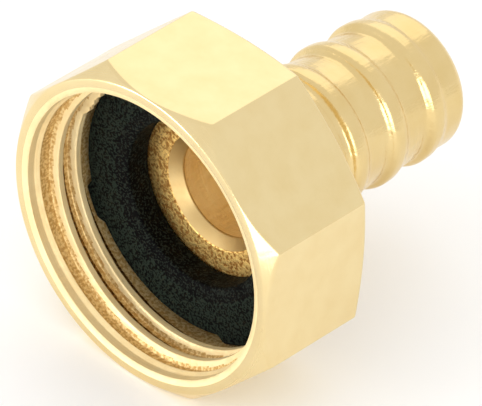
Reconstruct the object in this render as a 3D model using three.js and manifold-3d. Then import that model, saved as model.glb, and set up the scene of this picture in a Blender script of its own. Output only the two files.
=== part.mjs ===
// A brass garden-hose coupling: an octagonal swivel nut with an internal hose thread, the barbed
// hose tail that turns inside it, and the lugged rubber washer that seals against the tail's flange.
//
// Millimetres, +Z up. The coupling lies on one flat of its nut. Its axis runs along +Y, from the
// nut's open mouth to the tip of the barb.
import * as THREE from "three";
import { mergeVertices } from "three/addons/utils/BufferGeometryUtils.js";
import Module from "manifold-3d";

const wasm = await Module();
wasm.setup();

// Driving dimensions. Every distance "at" is measured along the axis from the nut's mouth.
const OVERALL_LENGTH = 35;
const SEGMENTS = 48;
const MERGE_DISTANCE = 1e-4;

// Swivel nut: 1 3/16 in across flats.
const NUT_SIDES = 8;
const ACROSS_FLATS = 30.2;
const NUT_LENGTH = 12.8;
const FRONT_FACE_RADIUS = 15.0;
const FRONT_CHAMFER_LENGTH = 1.45;
const REAR_FACE_RADIUS = 14.5;
const REAR_CHAMFER_LENGTH = 0.65;
const SHOULDER_AT = 11.35;
const REAR_HOLE_RADIUS = 7.15;
const MOUTH_EDGE_RADIUS = 14.25;
const MOUTH_EDGE_DEPTH = 0.15;
const LEAD_IN_RADIUS = 14.1;
const LEAD_IN_END_RADIUS = 13.45;
const LEAD_IN_DEPTH = 1.45;
const UNDERCUT_RUN = 0.3;

// Internal 3/4-11.5 NH garden-hose thread.
const THREAD_PITCH = 25.4 / 11.5;
const THREAD_ROOT_RADIUS = 13.7;
const THREAD_CREST_RADIUS = 12.9;
const THREAD_CREST_WIDTH = 0.6;
const THREAD_ROOT_WIDTH = 1.3;
const THREAD_START_AT = 2.52;
const THREAD_TURNS = 1.58;
const THREAD_START_ANGLE = THREE.MathUtils.degToRad(340);
const THREAD_FADE_TURNS = 0.08;
const STEPS_PER_TURN = 36;
const THREAD_EMBED = 0.25;
const THREAD_RUN_OUT = 0.05;

// Sealing washer: 1 in x 5/8 in x 1/8 in, with lugs that catch behind the thread.
const WASHER_FRONT_AT = 6.55;
const WASHER_THICKNESS = 2.9;
const WASHER_OUTER_RADIUS = 12.7;
const WASHER_INNER_RADIUS = 7.95;
const WASHER_BEVEL = 0.35;
const LUG_COUNT = 4;
const LUG_REACH_RADIUS = 13.45;
const LUG_EMBED = 1;
const LUG_BASE_WIDTH = 4.4;
const LUG_TIP_WIDTH = 2.8;
const LUG_FIRST_ANGLE = THREE.MathUtils.degToRad(62);

// Hose tail: a barb for 1/2 in hose behind a flange that the nut's shoulder holds.
const FLANGE_FRONT_AT = 9.55;
const FLANGE_THICKNESS = 1.5;
const FLANGE_RADIUS = 11.9;
const FLANGE_EDGE = 0.2;
const BORE_RADIUS = 4.75;
const BORE_CHAMFER = 1.0;
const SHANK_RADIUS = 6.8;
const BARB_COUNT = 3;
const FIRST_BARB_AT = 21.2;
const BARB_PITCH = 4.95;
const BARB_CREST_RADIUS = 7.0;
const BARB_ROOT_RADIUS = 6.45;
const BARB_RISE_LENGTH = 0.55;
const BARB_CREST_LENGTH = 0.9;
const BARB_FALL_LENGTH = 2.6;
const TIP_RADIUS = 6.7;
const TIP_FACE_RADIUS = 6.2;
const TIP_ROUND_LENGTH = 0.6;
const TIP_INNER_CHAMFER = 0.35;

// A manifold-3d solid from any closed three.js geometry.
function solid(geometry) {
  const bare = geometry.clone();
  bare.deleteAttribute("normal");
  bare.deleteAttribute("uv");
  const merged = mergeVertices(bare, MERGE_DISTANCE);
  return new wasm.Manifold(
    new wasm.Mesh({
      numProp: 3,
      vertProperties: merged.attributes.position.array,
      triVerts: new Uint32Array(merged.index.array),
    }),
  );
}

// A named mesh from a manifold-3d solid.
function part(name, body, material) {
  const mesh = body.getMesh();
  const geometry = new THREE.BufferGeometry();
  geometry.setAttribute("position", new THREE.BufferAttribute(mesh.vertProperties, 3));
  geometry.setIndex(new THREE.BufferAttribute(mesh.triVerts, 1));
  const made = new THREE.Mesh(geometry.toNonIndexed(), material);
  made.geometry.computeVertexNormals();
  made.name = name;
  return made;
}

// A solid of revolution about the fitting's axis, from [radius, distance] corners in order.
function turned(corners) {
  const profile = corners.map(([radius, at]) => new THREE.Vector2(radius, at));
  profile.push(profile[0].clone());
  return solid(new THREE.LatheGeometry(profile, SEGMENTS));
}

// The octagonal bar that the nut is cut from, with a flat facing straight up and one straight down.
function octagonBar() {
  const cornerRadius = ACROSS_FLATS / 2 / Math.cos(Math.PI / NUT_SIDES);
  const bar = new THREE.CylinderGeometry(cornerRadius, cornerRadius, NUT_LENGTH, NUT_SIDES);
  bar.rotateY(Math.PI / NUT_SIDES);
  bar.translate(0, NUT_LENGTH / 2, 0);
  return solid(bar);
}

// The turned outline that chamfers the bar's corners at both ends.
function nutEnvelope() {
  const clear = ACROSS_FLATS;
  const cornerRadius = ACROSS_FLATS / 2 / Math.cos(Math.PI / NUT_SIDES);
  const frontSlope = (cornerRadius - FRONT_FACE_RADIUS) / FRONT_CHAMFER_LENGTH;
  const rearSlope = (cornerRadius - REAR_FACE_RADIUS) / REAR_CHAMFER_LENGTH;
  return turned([
    [0, 0],
    [FRONT_FACE_RADIUS, 0],
    [clear, (clear - FRONT_FACE_RADIUS) / frontSlope],
    [clear, NUT_LENGTH - (clear - REAR_FACE_RADIUS) / rearSlope],
    [REAR_FACE_RADIUS, NUT_LENGTH],
    [0, NUT_LENGTH],
  ]);
}

// What the nut's bore removes: mouth edge, tapered lead-in, thread bore, and the hole in the rear wall.
function nutBore() {
  const past = 1;
  return turned([
    [0, -past],
    [MOUTH_EDGE_RADIUS, -past],
    [MOUTH_EDGE_RADIUS, 0],
    [LEAD_IN_RADIUS, MOUTH_EDGE_DEPTH],
    [LEAD_IN_END_RADIUS, LEAD_IN_DEPTH],
    [THREAD_ROOT_RADIUS, LEAD_IN_DEPTH + UNDERCUT_RUN],
    [THREAD_ROOT_RADIUS, SHOULDER_AT],
    [REAR_HOLE_RADIUS, SHOULDER_AT],
    [REAR_HOLE_RADIUS, NUT_LENGTH + past],
    [0, NUT_LENGTH + past],
  ]);
}

// The thread's ridge: a four-sided section carried along a right-hand helix, sunk a little into
// the wall, that rises from the wall at its start and falls back into it at its end.
function threadRidge() {
  const steps = Math.round(THREAD_TURNS * STEPS_PER_TURN);
  const positions = [];
  for (let step = 0; step <= steps; step++) {
    const turn = (THREAD_TURNS * step) / steps;
    const angle = THREAD_START_ANGLE - turn * 2 * Math.PI;
    const at = THREAD_START_AT + turn * THREAD_PITCH;
    const fade = Math.min(1, Math.min(turn, THREAD_TURNS - turn) / THREAD_FADE_TURNS);
    const crest = THREE.MathUtils.lerp(THREAD_ROOT_RADIUS + THREAD_RUN_OUT, THREAD_CREST_RADIUS, fade);
    const foot = THREAD_ROOT_RADIUS + THREAD_EMBED;
    const section = [
      [foot, -THREAD_ROOT_WIDTH / 2],
      [crest, -THREAD_CREST_WIDTH / 2],
      [crest, THREAD_CREST_WIDTH / 2],
      [foot, THREAD_ROOT_WIDTH / 2],
    ];
    for (const [radius, offset] of section) {
      positions.push(radius * Math.cos(angle), at + offset, radius * Math.sin(angle));
    }
  }
  const triangles = [0, 2, 1, 0, 3, 2];
  for (let step = 0; step < steps; step++) {
    for (let side = 0; side < 4; side++) {
      const a = step * 4 + side;
      const b = step * 4 + ((side + 1) % 4);
      triangles.push(a, b, a + 4, b, b + 4, a + 4);
    }
  }
  const last = steps * 4;
  triangles.push(last, last + 1, last + 2, last, last + 2, last + 3);
  const geometry = new THREE.BufferGeometry();
  geometry.setAttribute("position", new THREE.Float32BufferAttribute(positions, 3));
  geometry.setIndex(triangles);
  return solid(geometry);
}

function swivelNut() {
  const shell = octagonBar().intersect(nutEnvelope()).subtract(nutBore());
  return shell.add(threadRidge());
}

// One lug of the washer, reaching outwards along +X before it is turned to its place.
function washerLug(angle) {
  const root = WASHER_OUTER_RADIUS - LUG_EMBED;
  const depth = WASHER_THICKNESS - 2 * WASHER_BEVEL;
  const outline = new THREE.Shape([
    new THREE.Vector2(root, -LUG_BASE_WIDTH / 2),
    new THREE.Vector2(LUG_REACH_RADIUS, -LUG_TIP_WIDTH / 2),
    new THREE.Vector2(LUG_REACH_RADIUS, LUG_TIP_WIDTH / 2),
    new THREE.Vector2(root, LUG_BASE_WIDTH / 2),
  ]);
  const lug = new THREE.ExtrudeGeometry(outline, { depth, bevelEnabled: false });
  lug.rotateX(-Math.PI / 2);
  lug.rotateY(angle);
  lug.translate(0, WASHER_FRONT_AT + WASHER_BEVEL, 0);
  return solid(lug);
}

function sealingWasher() {
  const back = WASHER_FRONT_AT + WASHER_THICKNESS;
  let washer = turned([
    [WASHER_INNER_RADIUS + WASHER_BEVEL, WASHER_FRONT_AT],
    [WASHER_OUTER_RADIUS - WASHER_BEVEL, WASHER_FRONT_AT],
    [WASHER_OUTER_RADIUS, WASHER_FRONT_AT + WASHER_BEVEL],
    [WASHER_OUTER_RADIUS, back - WASHER_BEVEL],
    [WASHER_OUTER_RADIUS - WASHER_BEVEL, back],
    [WASHER_INNER_RADIUS + WASHER_BEVEL, back],
    [WASHER_INNER_RADIUS, back - WASHER_BEVEL],
    [WASHER_INNER_RADIUS, WASHER_FRONT_AT + WASHER_BEVEL],
  ]);
  for (let lug = 0; lug < LUG_COUNT; lug++) {
    washer = washer.add(washerLug(LUG_FIRST_ANGLE + (lug * 2 * Math.PI) / LUG_COUNT));
  }
  return washer;
}

// The corners of one barb, from its steep side towards the nut to its taper towards the tip.
function barbCorners(crestAt) {
  return [
    [BARB_ROOT_RADIUS, crestAt - BARB_CREST_LENGTH / 2 - BARB_RISE_LENGTH],
    [BARB_CREST_RADIUS, crestAt - BARB_CREST_LENGTH / 2],
    [BARB_CREST_RADIUS, crestAt + BARB_CREST_LENGTH / 2],
    [BARB_ROOT_RADIUS, crestAt + BARB_CREST_LENGTH / 2 + BARB_FALL_LENGTH],
  ];
}

function hoseTail() {
  const flangeBack = FLANGE_FRONT_AT + FLANGE_THICKNESS;
  const firstBarbFoot = FIRST_BARB_AT - BARB_CREST_LENGTH / 2 - BARB_RISE_LENGTH;
  const corners = [
    [BORE_RADIUS + BORE_CHAMFER, FLANGE_FRONT_AT],
    [FLANGE_RADIUS - FLANGE_EDGE, FLANGE_FRONT_AT],
    [FLANGE_RADIUS, FLANGE_FRONT_AT + FLANGE_EDGE],
    [FLANGE_RADIUS, flangeBack - FLANGE_EDGE],
    [FLANGE_RADIUS - FLANGE_EDGE, flangeBack],
    [SHANK_RADIUS, flangeBack],
    [SHANK_RADIUS, firstBarbFoot - BARB_FALL_LENGTH],
  ];
  for (let barb = 0; barb < BARB_COUNT; barb++) {
    corners.push(...barbCorners(FIRST_BARB_AT + barb * BARB_PITCH));
  }
  corners.push(
    [TIP_RADIUS, OVERALL_LENGTH - TIP_ROUND_LENGTH],
    [TIP_FACE_RADIUS, OVERALL_LENGTH],
    [BORE_RADIUS + TIP_INNER_CHAMFER, OVERALL_LENGTH],
    [BORE_RADIUS, OVERALL_LENGTH - TIP_INNER_CHAMFER],
    [BORE_RADIUS, FLANGE_FRONT_AT + BORE_CHAMFER],
  );
  return turned(corners);
}

const brass = new THREE.MeshStandardMaterial({ color: 0xe6c878, roughness: 0.28, metalness: 1 });
const turnedBrass = new THREE.MeshStandardMaterial({ color: 0xe2c16c, roughness: 0.35, metalness: 1 });
const rubber = new THREE.MeshStandardMaterial({ color: 0x1b1b1b, roughness: 0.85, metalness: 0 });

const coupling = new THREE.Group();
coupling.position.set(0, -OVERALL_LENGTH / 2, ACROSS_FLATS / 2);
coupling.add(part("swivel_nut", swivelNut(), brass));
coupling.add(part("sealing_washer", sealingWasher(), rubber));
coupling.add(part("hose_tail", hoseTail(), turnedBrass));

export default coupling;
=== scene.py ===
"""A brass garden-hose coupling: octagonal swivel nut, lugged rubber washer and barbed hose tail.

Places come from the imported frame. Shapes are closed walls swept round the coupling's axis, which
runs along +Y from the nut's mouth. Every distance "at" is measured from the mouth, in metres.
"""

import math

import bpy
from mathutils import Matrix, Vector


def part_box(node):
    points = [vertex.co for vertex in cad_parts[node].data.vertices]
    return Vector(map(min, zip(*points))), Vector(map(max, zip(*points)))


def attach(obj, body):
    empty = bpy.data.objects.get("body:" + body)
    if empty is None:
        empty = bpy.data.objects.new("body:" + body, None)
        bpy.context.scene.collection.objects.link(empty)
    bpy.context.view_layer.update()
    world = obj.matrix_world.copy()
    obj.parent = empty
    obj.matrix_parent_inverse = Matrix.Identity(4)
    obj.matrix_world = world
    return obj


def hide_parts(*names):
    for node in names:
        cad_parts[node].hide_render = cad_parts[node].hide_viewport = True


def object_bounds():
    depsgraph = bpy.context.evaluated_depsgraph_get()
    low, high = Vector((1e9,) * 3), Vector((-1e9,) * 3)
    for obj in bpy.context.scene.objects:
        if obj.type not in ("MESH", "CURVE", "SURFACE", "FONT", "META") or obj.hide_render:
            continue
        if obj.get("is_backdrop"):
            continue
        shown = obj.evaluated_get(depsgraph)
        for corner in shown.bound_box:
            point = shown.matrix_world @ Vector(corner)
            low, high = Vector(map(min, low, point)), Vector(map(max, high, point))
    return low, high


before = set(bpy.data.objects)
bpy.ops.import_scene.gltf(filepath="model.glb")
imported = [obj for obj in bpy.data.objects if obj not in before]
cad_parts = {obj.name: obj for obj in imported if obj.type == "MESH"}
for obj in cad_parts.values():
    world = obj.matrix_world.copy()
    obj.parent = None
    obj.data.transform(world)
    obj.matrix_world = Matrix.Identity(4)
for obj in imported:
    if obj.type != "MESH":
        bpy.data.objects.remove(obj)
cad_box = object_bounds()

MM = 0.001
TURN = 2 * math.pi

# Steps round the axis.
STEPS_PER_FLAT = 32
WASHER_STEPS = 360
TAIL_STEPS = 192

# Places that come from the frame.
NUT_LOW, NUT_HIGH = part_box("swivel_nut")
WASHER_LOW, WASHER_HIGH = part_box("sealing_washer")
TAIL_LOW, TAIL_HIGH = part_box("hose_tail")
MOUTH_Y = NUT_LOW.y
AXIS_Z = (NUT_LOW.z + NUT_HIGH.z) / 2
NUT_LENGTH = NUT_HIGH.y - NUT_LOW.y
HALF_FLATS = (NUT_HIGH.z - NUT_LOW.z) / 2
WASHER_FRONT = WASHER_LOW.y - MOUTH_Y
WASHER_BACK = WASHER_HIGH.y - MOUTH_Y
FLANGE_FRONT = TAIL_LOW.y - MOUTH_Y
FLANGE_RADIUS = (TAIL_HIGH.x - TAIL_LOW.x) / 2
TIP = TAIL_HIGH.y - MOUTH_Y

# Swivel nut.
SIDES = 8
FRONT_FACE_RADIUS = 15.0 * MM
FRONT_CHAMFER = 1.45 * MM
REAR_FACE_RADIUS = 14.5 * MM
REAR_CHAMFER = 0.65 * MM
SHOULDER = 11.35 * MM
REAR_HOLE_RADIUS = 7.15 * MM
MOUTH_EDGE_RADIUS = 14.25 * MM
MOUTH_EDGE_DEPTH = 0.15 * MM
LEAD_IN_RADIUS = 14.1 * MM
LEAD_IN_END_RADIUS = 13.45 * MM
LEAD_IN_DEPTH = 1.45 * MM
UNDERCUT_RUN = 0.3 * MM
CORNER_ROUND = 0.3 * MM
CHAMFER_ROUND = 0.3 * MM
FACE_ROUND = 0.12 * MM
HOLE_ROUND = 0.2 * MM

# Internal hose thread, right-hand.
PITCH = 25.4 / 11.5 * MM
THREAD_ROOT = 13.7 * MM
THREAD_CREST = 12.9 * MM
CREST_HALF_WIDTH = 0.3 * MM
ROOT_HALF_WIDTH = 0.65 * MM
THREAD_START = 2.52 * MM
THREAD_START_ANGLE = math.radians(340)
THREAD_TURNS = 1.58
THREAD_FADE = 0.03
# Painted shade: how far behind each crest's middle the dark line reaches, where the crest hides the
# root.
PAINTED_SHADE_END = 1.15 * MM

# The ragged burr at the thread's end: its length in turns, and its rise as a share of the ridge.
BURR_TURNS = 0.09
BURR_STEP_TURNS = 0.01
BURR_RISE = 0.45
BURR_RAGGED = 0.4
BURR_WAVES = (95, 37)
THREAD_STEP = 0.06 * MM

# Washer.
WASHER_OUTER = 12.7 * MM
WASHER_INNER = 7.95 * MM
WASHER_DISH = 9.7 * MM
WASHER_RECESS = 0.3 * MM
WASHER_INNER_ROUND = 0.3 * MM
WASHER_OUTER_ROUND = 0.35 * MM
LUG_REACH = 0.75 * MM
LUG_COUNT = 4
LUG_ANGLE = math.radians(298)
LUG_HALF_TIP = math.radians(6)
LUG_HALF_BASE = math.radians(9.5)

# Hose tail.
FLANGE_THICKNESS = 1.5 * MM
FLANGE_ROUND = 0.2 * MM
BORE_RADIUS = 4.75 * MM
BORE_CHAMFER = 1.0 * MM
SHANK_RADIUS = 6.8 * MM
SHANK_TAPER_LENGTH = 3.2 * MM
BARB_COUNT = 3
FIRST_BARB = 21.2 * MM
BARB_PITCH = 4.95 * MM
BARB_CREST = 7.0 * MM
BARB_ROOT = 6.45 * MM
BARB_FOOT_BEFORE = 1.1 * MM
BARB_CREST_BEFORE = 0.6 * MM
BARB_CREST_AFTER = 0.55 * MM
BARB_FOOT_AFTER = 1.2 * MM
BARB_ROUND = 0.5 * MM
TIP_RADIUS = 6.7 * MM
TIP_FACE_RADIUS = 6.2 * MM
TIP_EDGE_LENGTH = 0.7 * MM
TIP_INNER_CHAMFER = 0.35 * MM

# Finishes, by their place in a piece's list of materials. Satin has painted light; the last brass one
# is painted shade, a dark line behind each thread crest.
TURNED, POLISHED, SATIN_PAINTED_LIGHT, PITTED, PAINTED_SHADE = range(5)
RUBBER, DARK_RUBBER = range(2)

# ---------------------------------------------------------------- shapes


def rounded(corners, steps=4):
    """The outline through (radius, at, rounding, finish) corners, each rounded by a Bezier arc.

    Its points are (radius, at, finish). A corner's finish also covers the stretch that follows it.
    """
    outline = []
    count = len(corners)
    for index, (radius, at, rounding, finish) in enumerate(corners):
        here = Vector((radius, at))
        before = Vector(corners[index - 1][:2]) - here
        after = Vector(corners[(index + 1) % count][:2]) - here
        if rounding == 0:
            outline.append((radius, at, finish))
            continue
        reach = min(rounding, 0.45 * before.length, 0.45 * after.length)
        start = here + before.normalized() * reach
        end = here + after.normalized() * reach
        for step in range(steps + 1):
            t = step / steps
            point = (1 - t) ** 2 * start + 2 * t * (1 - t) * here + t * t * end
            outline.append((point.x, point.y, finish))
    return outline


def swept_ring(name, angles, outline_at):
    """A closed wall round the axis. Each face takes its outline point's finish as its material.

    outline_at(angle) goes rearwards along the wall's outside and forwards along its inside.
    """
    outlines = [outline_at(angle) for angle in angles]
    rows = len(outlines[0])  # All the outlines have the same number of points.
    vertices = []
    for angle, outline in zip(angles, outlines):
        for radius, at, _finish in outline:
            x = radius * math.cos(angle)
            z = AXIS_Z + radius * math.sin(angle)
            vertices.append((x, MOUTH_Y + at, z))
    faces = []
    for column in range(len(angles)):
        here = column * rows
        there = (column + 1) % len(angles) * rows
        for row in range(rows):
            following = (row + 1) % rows
            faces.append((here + row, here + following, there + following, there + row))
    mesh = bpy.data.meshes.new(name)
    mesh.from_pydata(vertices, [], faces)
    mesh.update()
    for index, polygon in enumerate(mesh.polygons):
        polygon.use_smooth = True
        polygon.material_index = outlines[index // rows][index % rows][2]
    piece = bpy.data.objects.new(name, mesh)
    bpy.context.scene.collection.objects.link(piece)
    weighted = piece.modifiers.new("weighted normals", "WEIGHTED_NORMAL")
    weighted.keep_sharp = True
    return piece


def even_angles(count):
    return [TURN * index / count for index in range(count)]


def smooth(t):
    """0 to 1 with level ends."""
    t = min(1.0, max(0.0, t))
    return t * t * (3 - 2 * t)


def octagon_angles(per_flat):
    """Angles round the nut, close together at each rounded corner."""
    corner = corner_half_angle()
    angles = []
    for side in range(SIDES):
        middle = TURN * (side + 0.5) / SIDES
        angles += [middle - corner, middle - corner / 2, middle, middle + corner / 2]
        span = TURN / SIDES - 2 * corner
        for step in range(per_flat):
            angles.append(middle + corner + span * step / per_flat)
    return angles


def corner_half_angle():
    """Half the angle, seen from the axis, that one rounded corner of the nut takes."""
    half = TURN / SIDES / 2
    centre = (HALF_FLATS - CORNER_ROUND) / math.cos(half)
    return math.atan2(CORNER_ROUND * math.sin(half), centre + CORNER_ROUND * math.cos(half))


def octagon_radius(angle):
    """Distance from the axis to the nut's flats, with rounded corners."""
    side = TURN / SIDES
    off_corner = angle % side - side / 2
    if abs(off_corner) < corner_half_angle():
        centre = (HALF_FLATS - CORNER_ROUND) / math.cos(side / 2)
        depth = CORNER_ROUND**2 - (centre * math.sin(off_corner)) ** 2
        return centre * math.cos(off_corner) + math.sqrt(depth)
    return HALF_FLATS / math.cos(side / 2 - abs(off_corner))


def thread_crossings(angle):
    """The turns at which the thread crosses this angle, counted from its start."""
    turn = ((THREAD_START_ANGLE - angle) / TURN) % 1.0
    while turn < THREAD_TURNS:
        yield turn
        turn += 1.0


def ridge_height(angle, at):
    """How far the thread stands out of the bore: 1 at its crest, and more at the burr that ends it."""
    height = 0.0
    for turn in thread_crossings(angle):
        off = abs(at - THREAD_START - turn * PITCH)
        flank = (ROOT_HALF_WIDTH - off) / (ROOT_HALF_WIDTH - CREST_HALF_WIDTH)
        left = THREAD_TURNS - turn
        ends = smooth(min(turn, left) / THREAD_FADE)
        ragged = 1 + BURR_RAGGED * math.prod(math.sin(waves * angle) for waves in BURR_WAVES)
        burr = BURR_RISE * ragged * smooth((BURR_TURNS - left) / BURR_STEP_TURNS)
        height = max(height, min(1.0, flank) * ends * (1 + burr))
    return height


def thread_finish(angle, at):
    """Satin lead-in and crests with painted light, pitted roots, and a painted shade line behind each
    crest, where the crest hides the root.
    """
    # The lead-in and the crests get painted light.
    if at < LEAD_IN_DEPTH:
        return SATIN_PAINTED_LIGHT
    for turn in thread_crossings(angle):
        off = at - THREAD_START - turn * PITCH
        if abs(off) < (CREST_HALF_WIDTH + ROOT_HALF_WIDTH) / 2:
            return SATIN_PAINTED_LIGHT
        # Painted shade just behind the crest.
        if 0 < off < PAINTED_SHADE_END:
            return PAINTED_SHADE
    return PITTED


def bore_radius(angle, at):
    """The nut's threaded bore, from the rounded mouth edge to the shoulder."""
    if at < MOUTH_EDGE_DEPTH:
        share = at / MOUTH_EDGE_DEPTH
        return MOUTH_EDGE_RADIUS + (LEAD_IN_RADIUS - MOUTH_EDGE_RADIUS) * math.sin(share * TURN / 4)
    if at < LEAD_IN_DEPTH:
        share = (at - MOUTH_EDGE_DEPTH) / (LEAD_IN_DEPTH - MOUTH_EDGE_DEPTH)
        wall = LEAD_IN_RADIUS + (LEAD_IN_END_RADIUS - LEAD_IN_RADIUS) * share
    else:
        share = smooth((at - LEAD_IN_DEPTH) / UNDERCUT_RUN)
        wall = LEAD_IN_END_RADIUS + (THREAD_ROOT - LEAD_IN_END_RADIUS) * share
    return min(wall, THREAD_ROOT - (THREAD_ROOT - THREAD_CREST) * ridge_height(angle, at))


def nut_outline(angle):
    flat = octagon_radius(angle)
    corner = HALF_FLATS / math.cos(TURN / SIDES / 2)
    front_edge = (flat - FRONT_FACE_RADIUS) * FRONT_CHAMFER / (corner - FRONT_FACE_RADIUS)
    rear_edge = (flat - REAR_FACE_RADIUS) * REAR_CHAMFER / (corner - REAR_FACE_RADIUS)
    outline = rounded(
        [
            (MOUTH_EDGE_RADIUS, 0, 0, TURNED),
            (FRONT_FACE_RADIUS, 0, FACE_ROUND, TURNED),
            (flat, front_edge, CHAMFER_ROUND, POLISHED),
            (flat, NUT_LENGTH - rear_edge, CHAMFER_ROUND, TURNED),
            (REAR_FACE_RADIUS, NUT_LENGTH, FACE_ROUND, TURNED),
            (REAR_HOLE_RADIUS, NUT_LENGTH, HOLE_ROUND, TURNED),
            (REAR_HOLE_RADIUS, SHOULDER, 0.1 * MM, SATIN_PAINTED_LIGHT),
            (THREAD_ROOT, SHOULDER, 0.3 * MM, PITTED),
        ]
    )
    rows = int(WASHER_FRONT / THREAD_STEP)
    for row in range(rows, 0, -1):
        at = row * THREAD_STEP
        outline.append((bore_radius(angle, at), at, thread_finish(angle, at)))
    return outline


def washer_lug(angle):
    """How far the washer's edge stands out in a lug, from 0 to 1."""
    spacing = TURN / LUG_COUNT
    off = abs((angle - LUG_ANGLE + spacing / 2) % spacing - spacing / 2)
    return smooth((LUG_HALF_BASE - off) / (LUG_HALF_BASE - LUG_HALF_TIP))


def washer_outline(angle):
    outer = WASHER_OUTER + LUG_REACH * washer_lug(angle)
    return rounded(
        [
            (WASHER_INNER, WASHER_FRONT + WASHER_RECESS, WASHER_INNER_ROUND, DARK_RUBBER),
            (WASHER_DISH, WASHER_FRONT, 0.4 * MM, RUBBER),
            (outer, WASHER_FRONT, WASHER_OUTER_ROUND, RUBBER),
            (outer, WASHER_BACK, WASHER_OUTER_ROUND, RUBBER),
            (WASHER_INNER, WASHER_BACK, WASHER_INNER_ROUND, DARK_RUBBER),
        ]
    )


def barb_corners(crest):
    """One barb ring: a steep rounded side towards the nut, and a long taper towards the tip."""
    return [
        (BARB_ROOT - 0.1 * MM, crest - BARB_FOOT_BEFORE, BARB_ROUND, TURNED),
        (BARB_CREST, crest - BARB_CREST_BEFORE, BARB_ROUND, TURNED),
        (BARB_CREST - 0.03 * MM, crest + BARB_CREST_AFTER, BARB_ROUND, TURNED),
        (BARB_ROOT + 0.2 * MM, crest + BARB_FOOT_AFTER, 0.9 * MM, TURNED),
    ]


def tail_outline(_angle):
    back = FLANGE_FRONT + FLANGE_THICKNESS
    corners = [
        (BORE_RADIUS + BORE_CHAMFER, FLANGE_FRONT, 0.08 * MM, PITTED),
        (FLANGE_RADIUS, FLANGE_FRONT, FLANGE_ROUND, TURNED),
        (FLANGE_RADIUS, back, FLANGE_ROUND, TURNED),
        (SHANK_RADIUS, back, 0.15 * MM, TURNED),
        (SHANK_RADIUS, FIRST_BARB - SHANK_TAPER_LENGTH, 0.8 * MM, TURNED),
    ]
    for barb in range(BARB_COUNT):
        corners += barb_corners(FIRST_BARB + barb * BARB_PITCH)
    corners += [
        (TIP_RADIUS, TIP - TIP_EDGE_LENGTH, 0.5 * MM, TURNED),
        (TIP_FACE_RADIUS, TIP, 0.35 * MM, TURNED),
        (BORE_RADIUS + TIP_INNER_CHAMFER, TIP, 0.08 * MM, TURNED),
        (BORE_RADIUS, TIP - TIP_INNER_CHAMFER, 0.1 * MM, SATIN_PAINTED_LIGHT),
        (BORE_RADIUS, FLANGE_FRONT + BORE_CHAMFER, 0.12 * MM, POLISHED),
    ]
    return rounded(corners)


# ------------------------------------------------------------- materials


class Nodes:
    """A material under construction."""

    def __init__(self, name):
        self.material = bpy.data.materials.new(name)
        self.material.use_nodes = True
        self.tree = self.material.node_tree
        self.shader = self.tree.nodes["Principled BSDF"]
        self.place = self.add("ShaderNodeTexCoord").outputs["Object"]

    def add(self, kind, **settings):
        node = self.tree.nodes.new(kind)
        for key, value in settings.items():
            setattr(node, key, value)
        return node

    def join(self, output, socket):
        self.tree.links.new(output, socket)

    def stretched(self, scale):
        """Object coordinates multiplied by scale, with the axis at the origin."""
        mapping = self.add("ShaderNodeMapping", vector_type="POINT")
        mapping.inputs["Location"].default_value = (0, 0, -AXIS_Z * scale[2])
        mapping.inputs["Scale"].default_value = scale
        self.join(self.place, mapping.inputs["Vector"])
        return mapping.outputs["Vector"]

    def noise(self, size, scale=(1, 1, 1), detail=2.0):
        """Noise whose blobs are about size metres across, squeezed by scale."""
        texture = self.add("ShaderNodeTexNoise")
        texture.inputs["Scale"].default_value = 1 / size
        texture.inputs["Detail"].default_value = detail
        self.join(self.stretched(scale), texture.inputs["Vector"])
        return texture.outputs["Fac"]

    def ramp(self, value, low, high, start, end):
        """Maps value from low..high to start..end, held at the ends."""
        mapped = self.add("ShaderNodeMapRange")
        for key, number in zip(("From Min", "From Max", "To Min", "To Max"), (low, high, start, end)):
            mapped.inputs[key].default_value = number
        self.join(value, mapped.inputs["Value"])
        return mapped.outputs["Result"]

    def blend(self, value, first, second):
        """A colour that goes from first to second as value goes from 0 to 1."""
        mix = self.add("ShaderNodeMix", data_type="RGBA")
        mix.inputs["A"].default_value = (*first, 1)
        mix.inputs["B"].default_value = (*second, 1)
        self.join(value, mix.inputs["Factor"])
        return mix.outputs["Result"]

    def bump(self, height, distance, under=None):
        """Raises the surface by height times distance, on top of the bumps under it."""
        node = self.add("ShaderNodeBump")
        node.inputs["Distance"].default_value = distance
        node.inputs["Strength"].default_value = 1.0
        self.join(height, node.inputs["Height"])
        if under is not None:
            self.join(under, node.inputs["Normal"])
        return node.outputs["Normal"]


NUT_COLOURS = (0.86, 0.69, 0.37), (0.83, 0.65, 0.33)
TAIL_COLOURS = (0.81, 0.62, 0.3), (0.77, 0.57, 0.25)
# Painted light: a light colour, used with less metal, so the bore's lead-in, crests and the tail's
# bore read as lit.
BORE_COLOURS_PAINTED_LIGHT = (1.0, 0.82, 0.46), (0.95, 0.74, 0.38)
PIT_COLOUR, GOLD = (0.4, 0.19, 0.045), (0.95, 0.66, 0.23)
ROOT_PIT_COLOUR, ROOT_GOLD = (0.62, 0.38, 0.12), (0.9, 0.68, 0.32)
CHAMFER_COLOURS = (0.66, 0.48, 0.22), (0.6, 0.42, 0.18)
# Painted shade: the dark line behind each thread crest, its pits and the colour between them.
PAINTED_SHADE_DARK, PAINTED_SHADE_GOLD = (0.12, 0.05, 0.01), (0.4, 0.2, 0.05)


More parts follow.
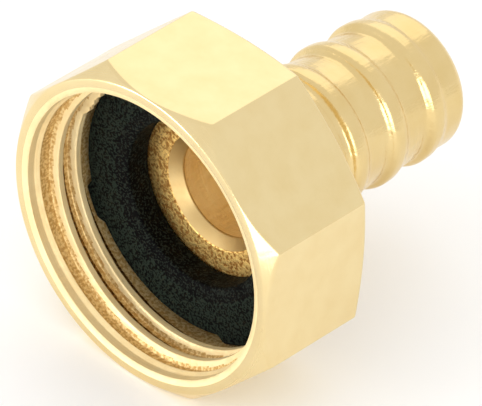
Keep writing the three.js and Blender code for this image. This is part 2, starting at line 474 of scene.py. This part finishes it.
def turned_brass(name, colours, roughness, groove, metallic=1.0):
    """Brass off the lathe: fine marks round the axis, chatter across them, stains and grain."""
    nodes = Nodes(name)
    nodes.shader.inputs["Metallic"].default_value = metallic
    marks = nodes.noise(0.25 * MM, (0.02, 1, 0.02), 3.0)
    chatter = nodes.noise(0.7 * MM, (1, 0.2, 1), 3.0)
    stains = nodes.noise(3.5 * MM, detail=4.0)
    grain = nodes.noise(0.12 * MM)
    colour = nodes.blend(nodes.ramp(stains, 0.35, 0.7, 0, 1), *colours)
    nodes.join(colour, nodes.shader.inputs["Base Color"])
    rough = nodes.ramp(marks, 0.3, 0.7, roughness * 0.8, roughness * 1.25)
    nodes.join(rough, nodes.shader.inputs["Roughness"])
    turned = nodes.bump(marks, groove, under=nodes.bump(chatter, 3 * groove))
    nodes.join(nodes.bump(grain, 0.004 * MM, under=turned), nodes.shader.inputs["Normal"])
    return nodes.material


def polished_brass(name, colours, roughness):
    """Smooth brass with faint stains and the ripple that polishing leaves."""
    nodes = Nodes(name)
    nodes.shader.inputs["Metallic"].default_value = 1.0
    stains = nodes.noise(2.5 * MM, detail=5.0)
    ripple = nodes.noise(5.0 * MM, detail=1.0)
    grain = nodes.noise(0.15 * MM)
    colour = nodes.blend(nodes.ramp(stains, 0.35, 0.7, 0, 1), *colours)
    nodes.join(colour, nodes.shader.inputs["Base Color"])
    rough = nodes.ramp(stains, 0.3, 0.7, roughness * 0.85, roughness * 1.2)
    nodes.join(rough, nodes.shader.inputs["Roughness"])
    waved = nodes.bump(ripple, 0.03 * MM)
    nodes.join(nodes.bump(grain, 0.002 * MM, under=waved), nodes.shader.inputs["Normal"])
    return nodes.material


def pitted_brass(name, pit_colour, colour_between, depth, metallic=1.0):
    """Dull brass, pitted all over and darker in the pits."""
    nodes = Nodes(name)
    nodes.shader.inputs["Metallic"].default_value = metallic
    pits = nodes.noise(0.28 * MM, detail=3.0)
    colour = nodes.blend(nodes.ramp(pits, 0.42, 0.58, 0, 1), pit_colour, colour_between)
    nodes.join(colour, nodes.shader.inputs["Base Color"])
    nodes.join(nodes.ramp(pits, 0.3, 0.7, 0.62, 0.45), nodes.shader.inputs["Roughness"])
    nodes.join(nodes.bump(pits, depth), nodes.shader.inputs["Normal"])
    return nodes.material


def speckled_rubber(name, speck_share, speck_colour):
    """Dull black rubber with a grainy skin: grey specks over about that share of it."""
    nodes = Nodes(name)
    nodes.shader.inputs["Specular IOR Level"].default_value = 0.08
    grain = nodes.noise(0.2 * MM, detail=3.0)
    coarse = nodes.noise(1.4 * MM, detail=2.0)
    threshold = 0.64 - 0.25 * speck_share  # Noise keeps mostly between 0.39 and 0.64.
    speckle = nodes.ramp(grain, threshold - 0.02, threshold + 0.02, 0, 1)
    colour = nodes.blend(speckle, (0.0, 0.0, 0.0), speck_colour)
    nodes.join(colour, nodes.shader.inputs["Base Color"])
    nodes.join(nodes.ramp(coarse, 0.3, 0.7, 0.62, 0.82), nodes.shader.inputs["Roughness"])
    skin = nodes.bump(grain, 0.05 * MM)
    nodes.join(nodes.bump(coarse, 0.08 * MM, under=skin), nodes.shader.inputs["Normal"])
    return nodes.material


def paper_white(name):
    """The matt white floor."""
    nodes = Nodes(name)
    soft = nodes.noise(40 * MM)
    colour = nodes.blend(soft, (0.98, 0.98, 0.98), (1.0, 1.0, 1.0))
    nodes.join(colour, nodes.shader.inputs["Base Color"])
    nodes.shader.inputs["Roughness"].default_value = 0.9
    return nodes.material


# ---------------------------------------------------------------- pieces


def place_piece(piece, materials, body, node):
    for material in materials:
        piece.data.materials.append(material)
    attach(piece, body)
    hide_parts(node)


def make_nut():
    nut = swept_ring("nut_body", octagon_angles(STEPS_PER_FLAT), nut_outline)
    turned = turned_brass("nut_turned_brass", NUT_COLOURS, 0.24, 0.006 * MM)
    flats = polished_brass("nut_polished_brass", NUT_COLOURS, 0.2)
    # Painted light: the lead-in and crests are painted lighter, as if lit inside the mouth.
    crests = turned_brass("nut_satin_brass_painted_light", BORE_COLOURS_PAINTED_LIGHT, 0.5, 0.03 * MM, 0.45)
    roots = pitted_brass("nut_pitted_brass", ROOT_PIT_COLOUR, ROOT_GOLD, 0.02 * MM, 0.6)
    # Painted shade: the dark line behind each crest of the thread.
    painted_shade = pitted_brass("nut_painted_shade_brass", PAINTED_SHADE_DARK, PAINTED_SHADE_GOLD, 0.03 * MM)
    finishes = [turned, flats, crests, roots, painted_shade]
    place_piece(nut, finishes, "nut", "swivel_nut")


def make_washer():
    washer = swept_ring("rubber_washer", even_angles(WASHER_STEPS), washer_outline)
    rubber = speckled_rubber("washer_rubber", 0.6, (0.014, 0.021, 0.015))
    dark = speckled_rubber("washer_dark_rubber", 0.4, (0.013, 0.017, 0.013))
    place_piece(washer, [rubber, dark], "washer", "sealing_washer")


def make_tail():
    tail = swept_ring("barbed_tail", even_angles(TAIL_STEPS), tail_outline)
    turned = turned_brass("tail_turned_brass", TAIL_COLOURS, 0.22, 0.02 * MM)
    lead = polished_brass("tail_polished_brass", CHAMFER_COLOURS, 0.42)
    # Painted light: the tail's bore is painted lighter, as if lit inside.
    bore = turned_brass("tail_satin_brass_painted_light", BORE_COLOURS_PAINTED_LIGHT, 0.5, 0.08 * MM, 0.85)
    flange = pitted_brass("tail_pitted_brass", PIT_COLOUR, GOLD, 0.06 * MM)
    place_piece(tail, [turned, lead, bore, flange], "tail", "hose_tail")


# ----------------------------------------------------------------- stage


def make_floor():
    """A hair below the nut's lowest flat, so that the two don't share a plane."""
    half = 0.6
    low = -0.02 * MM
    mesh = bpy.data.meshes.new("floor")
    corners = [(-half, -half, low), (half, -half, low), (half, half, low), (-half, half, low)]
    mesh.from_pydata(corners, [], [(0, 1, 2, 3)])
    floor = bpy.data.objects.new("floor", mesh)
    floor.data.materials.append(paper_white("floor_white"))
    bpy.context.scene.collection.objects.link(floor)
    floor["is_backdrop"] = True


def area_light(name, direction, distance, size, power):
    """A square soft white light in that direction from the coupling, facing it."""
    data = bpy.data.lights.new(name, "AREA")
    data.size = size
    data.energy = power
    light = bpy.data.objects.new(name, data)
    towards = Vector(direction).normalized()
    light.location = Vector((0, 0, AXIS_Z)) + towards * distance
    light.rotation_mode = "QUATERNION"
    light.rotation_quaternion = towards.to_track_quat("Z", "Y")
    bpy.context.scene.collection.objects.link(light)


def make_lights():
    world = bpy.data.worlds.new("studio")
    world.use_nodes = True
    background = world.node_tree.nodes["Background"]
    background.inputs["Color"].default_value = (1.0, 1.0, 1.0, 1)
    background.inputs["Strength"].default_value = 0.95
    bpy.context.scene.world = world
    area_light("top", (-0.5, 0.6, 0.62), 0.4, 0.36, 0.18)
    area_light("side", (0.75, -0.66, 0.12), 0.4, 0.28, 0.7)
    area_light("mouth", (-0.45, -0.85, 0.15), 0.3, 0.15, 0.38)


def make_camera():
    """The camera, set by its direction, its turn about its own axis, and where the mouth shows."""
    azimuth, elevation, roll = math.radians(41.2), math.radians(37.8), math.radians(4.2)
    distance, lens, sensor = 0.6949, 599.5, 36.0
    mouth_right, mouth_down = -8.89 * MM, 3.03 * MM
    back = Vector(
        (
            math.sin(azimuth) * math.cos(elevation),
            -math.cos(azimuth) * math.cos(elevation),
            math.sin(elevation),
        )
    )
    turn = (-back).to_track_quat("-Z", "Y").to_matrix() @ Matrix.Rotation(roll, 3, "Z")
    right, up = turn.col[0], turn.col[1]
    data = bpy.data.cameras.new("camera")
    data.lens, data.sensor_width = lens, sensor
    data.clip_start, data.clip_end = 0.01, 10
    camera = bpy.data.objects.new("camera", data)
    mouth = Vector((0, MOUTH_Y, AXIS_Z))
    camera.location = mouth - right * mouth_right + up * mouth_down + back * distance
    camera.rotation_mode = "QUATERNION"
    camera.rotation_quaternion = turn.to_quaternion()
    bpy.context.scene.collection.objects.link(camera)
    bpy.context.scene.camera = camera


make_nut()
make_washer()
make_tail()
make_floor()
make_lights()
make_camera()
bpy.context.scene.view_settings.view_transform = "Standard"

[[list(corner) for corner in box] for box in (cad_box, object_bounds())]
